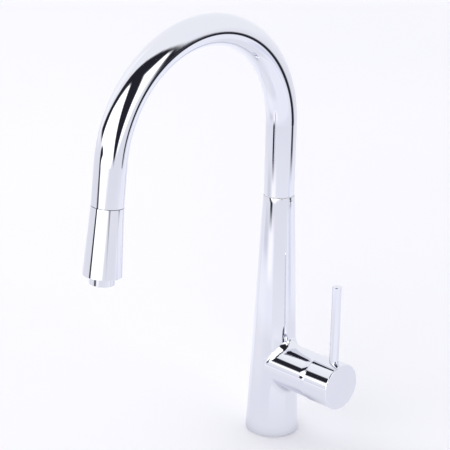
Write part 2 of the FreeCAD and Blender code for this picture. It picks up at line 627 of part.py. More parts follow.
def make_stem():
    square = box("StemSquare", "pivot_reach + stem_end - stem_back", "stem_width", "stem_width")
    put(square, "stem_back", "-stem_width / 2", "handle_height - stem_width / 2")
    tail = cylinder("StemTail", "stem_tail_radius", f"stem_back + joint_overlap - ({BALL_X})")
    at_handle(tail, BALL_X)
    ball = at_handle(shape("Sphere", "StemBall", Radius="ball_radius"), BALL_X)
    hole = cylinder("StemPinHole", "pin_radius + pin_fit", "2 * stem_width")
    put(hole, "pivot_reach", "-stem_width", "handle_height", ALONG_Y)
    node(cut("Stem", joined("StemWhole", [square, tail, ball]), [hole]), "cartridge_stem")


def make_bonnet():
    """The domed nut under the cap: it clamps the shell's boss to the valve body."""
    skirt = ring("BonnetSkirt", "neck_radius", "bonnet_skirt",
                 "pivot_reach + shell_lip + dome_joint - bonnet_back")
    at_handle(skirt, "bonnet_back")
    outer = at_handle(shape("Sphere", "DomeOutside", Radius="boss_radius"), "pivot_reach")
    inner = at_handle(shape("Sphere", "DomeInside", Radius="dome_inside"), "pivot_reach")
    keep = cylinder("DomeZone", "boss_radius", "dome_end - shell_lip")
    at_handle(keep, "pivot_reach + shell_lip")
    zone = doc.addObject("Part::Common", "DomeSlice")
    zone.Base = outer
    zone.Tool = keep
    mouth = cylinder("DomeMouth", "dome_mouth", "boss_radius")
    at_handle(mouth, "pivot_reach + shell_lip + dome_joint")
    shell = cut("DomeShell", zone, [inner, mouth])
    node(joined("Bonnet", [skirt, shell]), "bonnet")


# ---------------------------------------------------------------- handle

def make_cap():
    blank = cylinder("CapBlank", "cap_radius", "cap_length")
    at_handle(blank, RIM_X)
    doc.recompute()
    front = Vector(size("pivot_reach") + size("rim_offset") + size("cap_length"), 0, size("handle_height"))
    smooth = rounded("CapRounded", blank, size("cap_edge"), circle_at(front, size("cap_radius")))
    hollow = shape("Sphere", "CapHollow", Radius="boss_radius + seam_play")
    at_handle(hollow, "pivot_reach")
    hub = cylinder("CapHub", "hub_radius", "rim_offset + cap_length - cap_edge - hub_offset")
    at_handle(hub, "pivot_reach + hub_offset")
    half = "(stem_width / 2 + socket_play)"
    socket = box("CapSocket", "stem_end - hub_offset + socket_end_play", f"2 * {half}", f"2 * {half}")
    put(socket, "pivot_reach + hub_offset", f"-{half}", f"handle_height - {half}")
    root = put(cylinder("LeverTap", "root_radius", "root_length"),
               LEVER_X, "0", "handle_height + lever_seat - root_length")
    seat = cylinder("LeverSeat", "lever_radius", "cap_radius")
    put(seat, LEVER_X, "0", "handle_height + lever_seat")
    grub = put(cylinder("GrubTap", "grub_radius", "cap_radius"), LEVER_X, "0",
               "handle_height", DOWN)
    cup = cut("CapCup", smooth, [hollow])
    node(cut("Cap", joined("CapWithHub", [cup, hub]), [socket, root, seat, grub]), "handle_cap")


def make_lever():
    rod = turned("LeverRod", [
        ("0", "0"), ("root_radius", "0"), ("root_radius", "root_length"), ("lever_radius", "root_length"),
        ("lever_radius", "root_length + lever_top - lever_seat - lever_edge"),
        ("lever_radius - lever_edge", "root_length + lever_top - lever_seat"),
        ("0", "root_length + lever_top - lever_seat")])
    node(put(rod, LEVER_X, "0", "handle_height + lever_seat - root_length"), "lever_rod")
    screw = cylinder("GrubScrew", "grub_radius", "grub_length")
    put(screw, LEVER_X, "0", "handle_height - stem_width / 2 - socket_play", DOWN)
    key = shape("Prism", "GrubKey", Circumradius="key_radius", Height="key_depth")
    key.Polygon = 6
    put(key, LEVER_X, "0",
        "handle_height - stem_width / 2 - socket_play - grub_length + key_depth", DOWN)
    node(cut("KeyedGrub", screw, [key]), "handle_grub_screw")
    plug = cylinder("Plug", "grub_radius", "plug_length")
    put(plug, LEVER_X, "0",
        "handle_height - cap_radius + plug_depth + plug_length", DOWN)
    node(plug, "grub_plug")


# ---------------------------------------------------------------- spout

def bent_rod(name, radius, leg_foot, tip_end, extra="0"):
    """A solid rod along the spout's centre line, from a height on the leg to a place on the tip."""
    leg = put(cylinder(name + "Leg", radius, f"leg_height - ({leg_foot})"), z=leg_foot)
    rise = shape("Torus", name + "Rise", Radius1="first_bend", Radius2=radius)
    rise.Angle3 = 90
    # A torus sweeps from its local X towards its local Y: here from +Y, on the leg, towards +Z.
    rise.Placement = Placement(Vector(0, 0, 0), Rotation(Vector(0, 1, 0), Vector(0, 0, 1), Vector(1, 0, 0)))
    rise.setExpression("Placement.Base.y", bound("-first_bend"))
    rise.setExpression("Placement.Base.z", bound("leg_height"))
    fall = bind(doc.addObject("Part::Torus", name + "Fall"), Radius1="second_bend", Radius2=radius,
                Angle3="(90 - outlet_lean) * 1 deg")
    fall.Placement = Placement(Vector(0, 0, 0), Rotation(Vector(0, 0, 1), Vector(0, -1, 0), Vector(1, 0, 0)))
    fall.setExpression("Placement.Base.y", bound("-first_bend"))
    fall.setExpression("Placement.Base.z", bound("leg_height + first_bend - second_bend"))
    tip = at_tip(cylinder(name + "Tip", radius, tip_end), "0")
    return joined(name, [leg, rise, fall, tip])


def make_spout():
    outside = bent_rod("SpoutOutside", "spout_radius", SPOUT_FOOT, "tip_length")
    inside = bent_rod("SpoutInside", "spout_radius - spout_wall", SPOUT_FOOT, "tip_length")
    node(cut("SpoutTube", outside, [inside]), "spout_tube")
    washer = ring("SeamRing", "spigot_radius", "spout_radius - seam_set_back", "seam_height")
    node(put(washer, z=SHELL_TOP), "swivel_washer")


def make_spigot():
    """The spigot fixed in the spout's foot: two grooves for bearing rings, one for the clip."""
    def groove(foot, length, seat):
        top = f"{foot} + {length}"
        return [("spigot_radius", foot), (seat, foot), (seat, top), ("spigot_radius", top)]

    outline = [("spigot_bore", "0"), ("spigot_radius", "0")]
    outline += groove("spigot_drop - clip_drop", "clip_thickness", "clip_seat")
    outline += groove("spigot_drop - lower_ring_drop", "ring_length", "ring_seat")
    outline += groove("spigot_drop - upper_ring_drop", "ring_length", "ring_seat")
    shoulder = "spigot_drop + seam_height"
    top = "spigot_drop + seam_height + spigot_rise"
    outline += [("spigot_radius", shoulder), ("spout_radius - spout_wall", shoulder),
                ("spout_radius - spout_wall", top), ("spigot_bore", top)]
    blank = put(turned("SpigotBlank", outline), z=SPIGOT_FOOT)
    half_angle = "(swivel_range + 2 * asin((stop_radius + stop_play) / (2 * stop_groove)) / 1 deg)"
    outer = cylinder("StopGrooveOutside", "spigot_radius + joint_overlap", "2 * (stop_radius + stop_play)",
                     Angle=f"2 * {half_angle} * 1 deg")
    inner = cylinder("StopGrooveInside", "stop_groove", "2 * (stop_radius + stop_play)")
    foot = f"{SHELL_TOP} - stop_drop - stop_radius - stop_play"
    outer.Placement = Placement(Vector(0, 0, 0), Rotation(Vector(0, 0, 1), 20))
    outer.setExpression("Placement.Rotation.Angle", bound(f"(90 - {half_angle}) * 1 deg"))
    outer.setExpression("Placement.Base.z", bound(foot))
    put(inner, z=foot)
    groove_cut = cut("StopGroove", outer, [inner])
    node(cut("Spigot", blank, [groove_cut]), "spout_spigot")
    for name, label, drop in (("UpperRing", "upper_bearing_ring", "upper_ring_drop"),
                              ("LowerRing", "lower_bearing_ring", "lower_ring_drop")):
        bearing = ring(name, "ring_seat", "bearing_bore - ring_fit", "ring_length")
        node(put(bearing, z=f"{SHELL_TOP} - {drop}"), label)
    full = cylinder("ClipOutside", "clip_radius", "clip_thickness", Angle="(360 - clip_gap) * 1 deg")
    hollow = cylinder("ClipInside", "clip_seat", "clip_thickness")
    for thing in (full, hollow):
        put(thing, z=f"{SHELL_TOP} - clip_drop")
    node(cut("Clip", full, [hollow]), "spout_clip")


def make_hose():
    """The spray hose: up the shell, round the spout and into the ferrule, in three solids."""
    lower_top = f"({SPIGOT_FOOT} - hose_break)"
    lower = ring("HoseLower", "hose_bore", "hose_radius", f"{lower_top} + shank_drop")
    node(put(lower, z="-shank_drop"), "hose_in_body")
    stub_start = f"({HEAD_START} - stub_length)"
    outside = bent_rod("HoseOutside", "hose_radius", SPIGOT_FOOT, f"{stub_start} - hose_break")
    inside = bent_rod("HoseInside", "hose_bore", SPIGOT_FOOT, f"{stub_start} - hose_break")
    node(cut("HoseUpper", outside, [inside]), "hose_in_spout")
    stub = ring("HoseStub", "hose_bore", "hose_radius", "stub_length")
    node(at_tip(stub, stub_start), "hose_end")


def make_dock():
    """The insert in the spout's end that takes the head's collar, with its ring magnet."""
    length = "(tip_length - dock_set_back - dock_start)"
    wall = "spout_radius - spout_wall"
    insert = turned("DockInsert", [
        ("dock_throat", "0"), (wall, "0"), (wall, length), ("dock_bore", length),
        ("dock_bore", "dock_throat_length"), ("dock_throat", "dock_throat_length")])
    node(at_tip(insert, "dock_start"), "dock_insert")
    magnet = ring("Magnet", "dock_throat", "dock_bore", "magnet_thickness")
    node(at_tip(magnet, "dock_start + dock_throat_length"), "dock_magnet")


# ---------------------------------------------------------------- spray head

def make_connector():
    """The hose's turning end: ferrule, barbed connector with a retained flange, and two O-rings."""
    tail = "stub_length - barb_set_back"
    drop = f"({tail})"

    def along(place):
        return f"{place} + {drop}"

    def groove(place):
        foot = along(place)
        top = f"{foot} + oring_length"
        return [("barrel_radius", foot), ("oring_seat", foot), ("oring_seat", top), ("barrel_radius", top)]

    outline = [
        ("barrel_bore", "0"), ("hose_bore", "0"), ("hose_bore", tail), ("ferrule_radius", tail),
        ("ferrule_radius", along("connector_collar")), ("barrel_radius", along("connector_collar")),
        ("barrel_radius", along("flange_start")), ("flange_radius", along("flange_start")),
        ("flange_radius", along("flange_start + flange_length")),
        ("barrel_radius", along("flange_start + flange_length"))]
    outline += groove("first_oring") + groove("second_oring")
    outline += [("barrel_radius", along("barrel_end")), ("barrel_bore", along("barrel_end"))]
    node(in_head(turned("Connector", outline), f"-{drop}"), "hose_connector")
    rings = [in_head(ring(f"ORing{i}", "oring_seat", "barrel_radius", "oring_length"), place)
             for i, place in enumerate(("first_oring", "second_oring"))]
    node(joined("ORings", rings), "connector_orings")
    sleeve = ring("Ferrule", "hose_radius", "ferrule_radius", "stub_length")
    node(in_head(sleeve, "-stub_length"), "hose_ferrule")


def make_head_shell():
    slope = "(head_end_radius - head_top_radius) / head_length"
    outline = [
        ("collar_radius", "0"), ("head_top_radius", "0"),
        (f"head_end_radius - {slope} * head_edge", "head_length - head_edge"),
        ("head_end_radius - head_edge", "head_length"), ("head_mouth", "head_length"),
        ("head_mouth", "head_length - head_floor"),
        (f"head_end_radius - {slope} * head_floor - head_wall", "head_length - head_floor"),
        (f"head_top_radius + {slope} * head_floor - head_wall", "head_floor"),
        ("collar_radius", "head_floor")]
    node(in_head(turned("HeadShell", outline)), "head_shell")


def make_head_inside():
    collar_foot = "collar_rise + head_floor"
    collar = turned("Collar", [
        ("collar_bore", "0"), ("collar_radius", "0"), ("collar_radius", collar_foot),
        ("collar_flange", collar_foot), ("collar_flange", collar_foot + " + collar_flange_length"),
        ("collar_bore", collar_foot + " + collar_flange_length")])
    node(in_head(collar, "-collar_rise"), "docking_collar")
    steel = ring("SteelDockRing", "collar_bore", "collar_radius", "steel_ring_length")
    node(in_head(steel, "-collar_rise - steel_ring_length"), "docking_steel_ring")

    def from_core(place):
        return f"{place} - core_start"

    retainer_end = "retainer_length + thread_relief"
    core = turned("Core", [
        ("retainer_radius", "0"), ("core_radius", "0"), ("core_radius", from_core("core_end")),
        ("aerator_thread", from_core("core_end")), ("aerator_thread", from_core("aerator_start")),
        ("valve_chamber", from_core("aerator_start")), ("valve_chamber", from_core("filter_start")),
        ("barrel_radius + barrel_fit", from_core("filter_start")),
        ("barrel_radius + barrel_fit", from_core("chamber_end")),
        ("chamber_radius", from_core("chamber_end")), ("chamber_radius", retainer_end),
        ("retainer_radius", retainer_end)])
    node(in_head(core, "core_start"), "head_core")
    retainer = ring("Retainer", "barrel_radius + barrel_fit", "retainer_radius", "retainer_length")
    node(in_head(retainer, "core_start"), "connector_retainer")
    screen = cylinder("Screen", "valve_chamber - check_play", "filter_length")
    node(in_head(screen, "filter_start"), "filter_screen")
    valve_length = "(check_end - filter_start - filter_length)"
    check = turned("CheckValve", [
        ("0", "poppet_start"), ("poppet_radius", "poppet_start"), ("poppet_radius", "poppet_end"),
        ("check_bore", "check_seat"), ("check_bore", "0"),
        ("valve_chamber - check_play", "0"), ("valve_chamber - check_play", valve_length),
        ("0", valve_length)])
    node(in_head(check, "filter_start + filter_length"), "check_valve")


def make_aerator():
    washer = ring("AeratorWasher", "washer_bore", "aerator_thread - check_play", "washer_length")
    node(in_head(washer, "aerator_start"), "aerator_washer")
    nozzle_start = "aerator_start + washer_length"
    skirt = f"core_end + thread_relief - ({nozzle_start})"
    length = f"head_length + nozzle_length - ({nozzle_start})"
    nozzle = turned("Nozzle", [
        ("nozzle_bore", "0"), ("aerator_thread", "0"), ("aerator_thread", skirt), ("nozzle_radius", skirt),
        ("nozzle_radius", f"{length} - nozzle_edge"), ("nozzle_radius - nozzle_edge", length),
        ("nozzle_bore", length)])
    node(in_head(nozzle, nozzle_start), "nozzle_ring")
    depth = "(head_length + nozzle_length - insert_set_back - insert_start)"
    cup = turned("InsertCup", [
        ("nozzle_bore - insert_wall", "0"), ("nozzle_bore", "0"), ("nozzle_bore", depth), ("0", depth),
        ("0", f"{depth} - insert_face"), ("nozzle_bore - insert_wall", f"{depth} - insert_face")])
    in_head(cup, "insert_start")
    jets = []
    for level in range(JET_RINGS + 1):
        count = max(1, 6 * level)
        for i in range(count):
            turn = 2 * math.pi * i / count
            jet = cylinder(f"Jet{level}_{i}", "jet_radius", "insert_face")
            jet_x = f"{level} * jet_pitch * {math.cos(turn):.6f}"
            jet_y = f"{level} * jet_pitch * {math.sin(turn):.6f}"
            jets.append(put(jet, jet_x, jet_y, f"{depth} - insert_face"))
    grid = doc.addObject("Part::Compound", "JetGrid")
    grid.Links = jets
    in_head(grid, "insert_start")
    node(cut("Insert", cup, [grid]), "aerator_insert")


def check_and_export():
    """Stops on any failed object or bad solid, then writes one STEP file for each sub-part."""
    doc.recompute()
    for thing in doc.Objects:
        bad = [word for word in ("Invalid", "Error") if word in thing.State]
        if bad:
            raise RuntimeError(f"{thing.Label}: {bad}")
    os.makedirs("parts", exist_ok=True)
    for thing in nodes:
        solid = thing.Shape
        if solid.isNull() or not solid.isValid() or not solid.Solids:
            raise RuntimeError(f"{thing.Label}: bad shape")
    for thing in nodes:
        thing.Shape.exportStep(os.path.join("parts", thing.Label + ".step"))
        print(f"{thing.Label:22s} {len(thing.Shape.Solids)} solid(s) {thing.Shape.Volume:12.1f} mm3")


make_foot()
make_deck_clamp()
make_shell()
make_valve_body()
make_cartridge()
make_shutter()
make_driver()
make_stem()
make_bonnet()
make_cap()
make_lever()
make_spout()
make_spigot()
make_hose()
make_dock()
make_connector()
make_head_shell()
make_head_inside()
make_aerator()
check_and_export()
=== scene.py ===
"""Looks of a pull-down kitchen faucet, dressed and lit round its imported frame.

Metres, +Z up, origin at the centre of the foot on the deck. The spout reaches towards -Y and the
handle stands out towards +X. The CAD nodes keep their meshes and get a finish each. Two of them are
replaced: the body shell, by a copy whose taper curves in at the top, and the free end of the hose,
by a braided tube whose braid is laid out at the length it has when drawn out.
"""

import logging
import math
from dataclasses import dataclass, field
from enum import Enum
from typing import Any

import bmesh
import bpy
import numpy as np
from mathutils import Matrix, Vector


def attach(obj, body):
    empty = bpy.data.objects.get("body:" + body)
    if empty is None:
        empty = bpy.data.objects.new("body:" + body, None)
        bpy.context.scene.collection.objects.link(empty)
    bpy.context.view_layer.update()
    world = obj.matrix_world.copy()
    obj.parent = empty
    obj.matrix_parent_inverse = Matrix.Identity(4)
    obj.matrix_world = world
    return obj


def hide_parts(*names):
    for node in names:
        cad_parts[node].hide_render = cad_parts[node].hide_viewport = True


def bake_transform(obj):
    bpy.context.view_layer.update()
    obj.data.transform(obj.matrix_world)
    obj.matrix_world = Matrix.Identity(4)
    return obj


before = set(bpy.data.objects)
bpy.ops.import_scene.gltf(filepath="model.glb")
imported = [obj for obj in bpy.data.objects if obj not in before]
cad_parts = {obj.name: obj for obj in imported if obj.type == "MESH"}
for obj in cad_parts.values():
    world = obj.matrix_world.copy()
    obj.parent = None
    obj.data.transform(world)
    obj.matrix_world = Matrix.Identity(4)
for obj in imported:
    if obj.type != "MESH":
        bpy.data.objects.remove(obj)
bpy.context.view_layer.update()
LOG = logging.getLogger("faucet")

MM = 0.001
TINY = 1e-9
# Noise mostly stays inside the first span. Colour ramps change over the second.
NOISE_SPAN = (0.3, 0.7)
RAMP_SPAN = (0.35, 0.65)


def linear(hex_colour: str) -> tuple[float, float, float, float]:
    """Turns an sRGB hex colour to linear light.

    Args:
        hex_colour: six hex digits, with or without a hash.

    Returns:
        Linear red, green and blue, with an alpha of one.
    """
    digits = hex_colour.lstrip("#")
    parts = [int(digits[i:i + 2], 16) / 255 for i in (0, 2, 4)]
    bent = [c / 12.92 if c <= 0.04045 else ((c + 0.055) / 1.055) ** 2.4 for c in parts]
    return (bent[0], bent[1], bent[2], 1.0)


def add_node(tree: bpy.types.NodeTree, kind: str, settings: dict[str, Any] | None = None,
             inputs: dict[Any, Any] | None = None) -> bpy.types.Node:
    """Adds one shader node.

    Args:
        tree: the node tree it goes in.
        kind: the node's type without its "ShaderNode" prefix.
        settings: properties of the node.
        inputs: for a socket's name or number, a value, or an output socket to link from.

    Returns:
        The new node.
    """
    node = tree.nodes.new("ShaderNode" + kind)
    for name, value in (settings or {}).items():
        setattr(node, name, value)
    for key, value in (inputs or {}).items():
        if isinstance(value, bpy.types.NodeSocket):
            tree.links.new(value, node.inputs[key])
        else:
            node.inputs[key].default_value = value
    return node


def per_metre(millimetres: float) -> float:
    """The texture scale at which one feature is that many millimetres across."""
    return 1.0 / (millimetres * MM)


def ring_faces(rings: int, around: int) -> list[tuple[int, int, int, int]]:
    """The four-sided faces between closed rings of points.

    Args:
        rings: how many rings there are.
        around: how many points each ring has.

    Returns:
        The faces as point numbers, ring by ring.
    """
    return [(r * around + c, r * around + (c + 1) % around,
             (r + 1) * around + (c + 1) % around, (r + 1) * around + c)
            for r in range(rings - 1) for c in range(around)]


# ------------------------------------------------------------------ finishes


@dataclass(frozen=True)
class Finish:
    """A surface finish: subclasses fill in the node tree."""

    name: str = "plain"

    def dress(self, tree: bpy.types.NodeTree, shader: bpy.types.Node) -> None:
        """Adds the finish's own nodes to a Principled shader."""
        raise NotImplementedError

    def material(self) -> bpy.types.Material:
        """The finish as a Blender material, made once.

        Returns:
            The material of this finish's name.
        """
        known = bpy.data.materials.get(self.name)
        if known:
            return known
        made = bpy.data.materials.new(self.name)
        made.use_nodes = True
        tree = made.node_tree
        tree.nodes.clear()
        shader = add_node(tree, "BsdfPrincipled")
        add_node(tree, "OutputMaterial", inputs={"Surface": shader.outputs[0]})
        self.dress(tree, shader)
        return made

    def blotches(self, tree: bpy.types.NodeTree, across_mm: float, detail: float = 3.0,
                 stretch: tuple[float, float, float] = (1, 1, 1)) -> bpy.types.NodeSocket:
        """Noise over the object's own coordinates.

        Args:
            tree: the material's node tree.
            across_mm: the size of one blotch.
            detail: octaves of finer noise.
            stretch: factors on the three axes, less than one to draw the noise out.

        Returns:
            The noise value's socket.
        """
        place = add_node(tree, "TexCoord")
        mapping = add_node(tree, "Mapping", inputs={"Vector": place.outputs["Object"], "Scale": stretch})
        noise = add_node(tree, "TexNoise", inputs={
            "Vector": mapping.outputs[0], "Scale": per_metre(across_mm), "Detail": detail})
        return noise.outputs[0]

    def spread(self, tree: bpy.types.NodeTree, value: bpy.types.NodeSocket, low: float,
               high: float) -> bpy.types.NodeSocket:
        """Maps noise onto low..high, clamped at both ends."""
        return add_node(tree, "MapRange", inputs={
            "Value": value, "From Min": NOISE_SPAN[0], "From Max": NOISE_SPAN[1],
            "To Min": low, "To Max": high}).outputs[0]

    def tints(self, tree: bpy.types.NodeTree, value: bpy.types.NodeSocket, first: str,
              second: str) -> bpy.types.NodeSocket:
        """A ramp between two sRGB colours."""
        ramp = add_node(tree, "ValToRGB", inputs={"Fac": value})
        for stop, position, colour in zip(ramp.color_ramp.elements, RAMP_SPAN, (first, second)):
            stop.position = position
            stop.color = linear(colour)
        return ramp.outputs[0]

    def relief(self, tree: bpy.types.NodeTree, shader: bpy.types.Node, height: bpy.types.NodeSocket,
               depth_mm: float, strength: float = 1.0) -> None:
        """Raises the surface by a height value, depth_mm at most."""
        bump = add_node(tree, "Bump", inputs={
            "Height": height, "Distance": depth_mm * MM, "Strength": strength})
        tree.links.new(bump.outputs[0], shader.inputs["Normal"])


@dataclass(frozen=True)
class PolishedChrome(Finish):
    """Brass, buffed to a mirror and plated with nickel and bright chrome.

    To the eye: a cool, faintly blue mirror that draws every edge of the room sharply, with a very
    slight waviness left by the buffing wheel and hairlines that only soften a highlight.
    """

    name: str = "brass_buffed_and_chrome_plated"
    cool: str = "#E2E3EC"
    warm: str = "#E4E5EC"
    cloud_mm: float = 45.0
    wave_mm: float = 9.0
    hairline_mm: float = 0.25
    hairline_stretch: tuple[float, float, float] = (1, 1, 0.08)
    roughness: tuple[float, float] = (0.022, 0.05)
    depth_mm: float = 0.004
    strength: float = 0.35

    def dress(self, tree: bpy.types.NodeTree, shader: bpy.types.Node) -> None:
        """Mirror, with buffing waves in the relief and hairlines in the roughness."""
        shader.inputs["Metallic"].default_value = 1.0
        tint = self.tints(tree, self.blotches(tree, self.cloud_mm), self.cool, self.warm)
        tree.links.new(tint, shader.inputs["Base Color"])
        hairlines = self.blotches(tree, self.hairline_mm, 2.0, self.hairline_stretch)
        tree.links.new(self.spread(tree, hairlines, *self.roughness), shader.inputs["Roughness"])
        waves = self.blotches(tree, self.wave_mm, 1.0)
        self.relief(tree, shader, waves, self.depth_mm, self.strength)


@dataclass(frozen=True)
class TurnedBrass(Finish):
    """Brass, cast and turned: warm yellow with tool rings and a faint brown tarnish."""

    name: str = "brass_cast_and_turned"
    brown: str = "#A8854A"
    yellow: str = "#C9A663"
    tarnish_mm: float = 7.0
    ring_mm: float = 0.35
    ring_stretch: tuple[float, float, float] = (0.2, 0.2, 1)
    roughness: tuple[float, float] = (0.24, 0.42)
    depth_mm: float = 0.03
    strength: float = 0.5

    def dress(self, tree: bpy.types.NodeTree, shader: bpy.types.Node) -> None:
        """Yellow metal with tarnish blotches and the tool's fine rings."""
        shader.inputs["Metallic"].default_value = 1.0
        tarnish = self.blotches(tree, self.tarnish_mm, 5.0)
        tree.links.new(self.tints(tree, tarnish, self.brown, self.yellow), shader.inputs["Base Color"])
        tree.links.new(self.spread(tree, tarnish, *self.roughness), shader.inputs["Roughness"])
        rings = self.blotches(tree, self.ring_mm, 2.0, self.ring_stretch)
        self.relief(tree, shader, rings, self.depth_mm, self.strength)


class SteelFace(Enum):
    """How a steel part was finished: its two tints, roughness range and relief in millimetres."""

    STAINLESS = ("stainless_steel_turned", "#B4B6BA", "#C6C8CB", 0.18, 0.34, 0.01)
    ZINC = ("steel_pressed_and_zinc_plated", "#9DA1A8", "#BBBDB8", 0.30, 0.48, 0.03)
    NICKEL = ("magnet_sintered_and_nickel_plated", "#A9A79F", "#BDBBB3", 0.26, 0.38, 0.02)


@dataclass(frozen=True)
class Steel(Finish):
    """Steel in one of its finishes: grey metal with a drawn grain."""

    name: str = "steel"
    face: SteelFace = SteelFace.STAINLESS
    cloud_mm: float = 5.0
    grain_mm: float = 0.4
    grain_stretch: tuple[float, float, float] = (1, 1, 0.1)
    strength: float = 0.5

    def dress(self, tree: bpy.types.NodeTree, shader: bpy.types.Node) -> None:
        """Grey metal, clouded, with grain drawn along Z."""
        _, dark, pale, smooth, rough, depth = self.face.value
        shader.inputs["Metallic"].default_value = 1.0
        clouds = self.blotches(tree, self.cloud_mm, 4.0)
        tree.links.new(self.tints(tree, clouds, dark, pale), shader.inputs["Base Color"])
        tree.links.new(self.spread(tree, clouds, smooth, rough), shader.inputs["Roughness"])
        grain = self.blotches(tree, self.grain_mm, 2.0, self.grain_stretch)
        self.relief(tree, shader, grain, depth, self.strength)


@dataclass(frozen=True)
class BlackRubber(Finish):
    """EPDM rubber, moulded: matt near-black with a soft sheen and a fine bloom."""

    name: str = "epdm_rubber_moulded"
    black: str = "#141416"
    bloomed: str = "#232326"
    bloom_mm: float = 4.0
    grain_mm: float = 0.3
    roughness: tuple[float, float] = (0.55, 0.75)
    depth_mm: float = 0.03
    strength: float = 0.6

    def dress(self, tree: bpy.types.NodeTree, shader: bpy.types.Node) -> None:
        """Near-black, with bloom in patches and the mould's fine grain."""
        bloom = self.blotches(tree, self.bloom_mm, 4.0)
        tree.links.new(self.tints(tree, bloom, self.black, self.bloomed), shader.inputs["Base Color"])
        tree.links.new(self.spread(tree, bloom, *self.roughness), shader.inputs["Roughness"])
        grain = self.blotches(tree, self.grain_mm, 2.0)
        self.relief(tree, shader, grain, self.depth_mm, self.strength)


@dataclass(frozen=True)
class Alumina(Finish):
    """Alumina ceramic, fired and lapped: dense off-white with a glassy lapped face."""

    name: str = "alumina_fired_and_lapped"
    grey: str = "#DFDAD0"
    off_white: str = "#EFECE5"
    ior: float = 1.76
    speck_mm: float = 0.5
    roughness: tuple[float, float] = (0.10, 0.20)
    depth_mm: float = 0.004
    strength: float = 0.4

    def dress(self, tree: bpy.types.NodeTree, shader: bpy.types.Node) -> None:
        """Off-white with faint grey specks and a smooth face."""
        shader.inputs["IOR"].default_value = self.ior
        specks = self.blotches(tree, self.speck_mm, 5.0)
        tree.links.new(self.tints(tree, specks, self.grey, self.off_white), shader.inputs["Base Color"])
        tree.links.new(self.spread(tree, specks, *self.roughness), shader.inputs["Roughness"])
        self.relief(tree, shader, specks, self.depth_mm, self.strength)


class Resin(Enum):
    """A moulded plastic: its material name, two tints and its roughness range."""

    ACETAL_WHITE = ("acetal_moulded_white", "#E3E3DF", "#EEEEEB", 0.32, 0.45)
    SILICONE_MILKY = ("silicone_moulded_milky", "#DADADF", "#E4E4E8", 0.45, 0.60)
    ABS_GREY = ("abs_moulded_dark_grey", "#2B2C30", "#37383C", 0.36, 0.52)


@dataclass(frozen=True)
class MouldedPlastic(Finish):
    """Moulded plastic: even colour, a soft gloss and the spark-eroded grain of the mould."""

    name: str = "plastic"
    resin: Resin = Resin.ACETAL_WHITE
    ior: float = 1.48
    flow_mm: float = 11.0
    grain_mm: float = 0.22
    depth_mm: float = 0.015
    strength: float = 0.6

    def dress(self, tree: bpy.types.NodeTree, shader: bpy.types.Node) -> None:
        """Even colour with faint flow marks, and the mould's grain as relief."""
        _, dark, pale, smooth, rough = self.resin.value
        shader.inputs["IOR"].default_value = self.ior
        flow = self.blotches(tree, self.flow_mm, 3.0)
        tree.links.new(self.tints(tree, flow, dark, pale), shader.inputs["Base Color"])
        tree.links.new(self.spread(tree, flow, smooth, rough), shader.inputs["Roughness"])
        grain = self.blotches(tree, self.grain_mm, 1.0)
        self.relief(tree, shader, grain, self.depth_mm, self.strength)


@dataclass(frozen=True)
class BraidedNylon(Finish):
    """Nylon yarn braided over a rubber hose: grey strands that cross, dark where they dip.

    The strands lie on the piece's UV map, one strand for each unit across it. Real strands are
    about 1.6 mm wide, which is just wide enough to show.
    """

    name: str = "nylon_yarn_braided"
    shadow: str = "#3C3D42"
    yarn: str = "#9FA1A7"
    strand_share: float = 0.75
    fibre_share: float = 0.25
    fibre_mm: float = 0.3
    roughness: tuple[float, float] = (0.42, 0.62)
    depth_mm: float = 0.4
    strength: float = 0.8

    def strands(self, tree: bpy.types.NodeTree, lean: float) -> bpy.types.NodeSocket:
        """One family of strands, leaning to one side or the other.

        Args:
            tree: the material's node tree.
            lean: plus or minus one, the side to which the strands lean.

        Returns:
            A height of 0 between strands and 1 on their crowns.
        """
        place = add_node(tree, "TexCoord")
        parts = add_node(tree, "SeparateXYZ", inputs={0: place.outputs["UV"]})
        along = add_node(tree, "Math", {"operation": "MULTIPLY"}, {0: parts.outputs[1], 1: lean})
        phase = add_node(tree, "Math", {"operation": "ADD"}, {0: parts.outputs[0], 1: along.outputs[0]})
        round_up = add_node(tree, "Math", {"operation": "MULTIPLY"}, {0: phase.outputs[0], 1: math.pi})
        wave = add_node(tree, "Math", {"operation": "SINE"}, {0: round_up.outputs[0]})
        return add_node(tree, "Math", {"operation": "ABSOLUTE"}, {0: wave.outputs[0]}).outputs[0]

    def dress(self, tree: bpy.types.NodeTree, shader: bpy.types.Node) -> None:
        """Two crossing families of strands as colour and relief."""
        crossed = add_node(tree, "Math", {"operation": "MULTIPLY"}, {
            0: self.strands(tree, 1.0), 1: self.strands(tree, -1.0)})
        fibres = self.blotches(tree, self.fibre_mm, 3.0)
        fluff = add_node(tree, "Math", {"operation": "MULTIPLY"}, {0: fibres, 1: self.fibre_share})
        mixed = add_node(tree, "Math", {"operation": "MULTIPLY_ADD"}, {
            0: crossed.outputs[0], 1: self.strand_share, 2: fluff.outputs[0]})
        self.cover(tree, shader, mixed.outputs[0], fibres, crossed.outputs[0])

    def cover(self, tree: bpy.types.NodeTree, shader: bpy.types.Node, shade: bpy.types.NodeSocket,
              fibres: bpy.types.NodeSocket, height: bpy.types.NodeSocket) -> None:
        """Gives the yarn its colour, roughness and relief.

        Args:
            tree: the material's node tree.
            shader: its Principled shader.
            shade: what picks between the shadow's colour and the yarn's.
            fibres: what varies the roughness.
            height: how high the strands stand.
        """
        tree.links.new(self.tints(tree, shade, self.shadow, self.yarn), shader.inputs["Base Color"])
        tree.links.new(self.spread(tree, fibres, *self.roughness), shader.inputs["Roughness"])
        self.relief(tree, shader, height, self.depth_mm, self.strength)


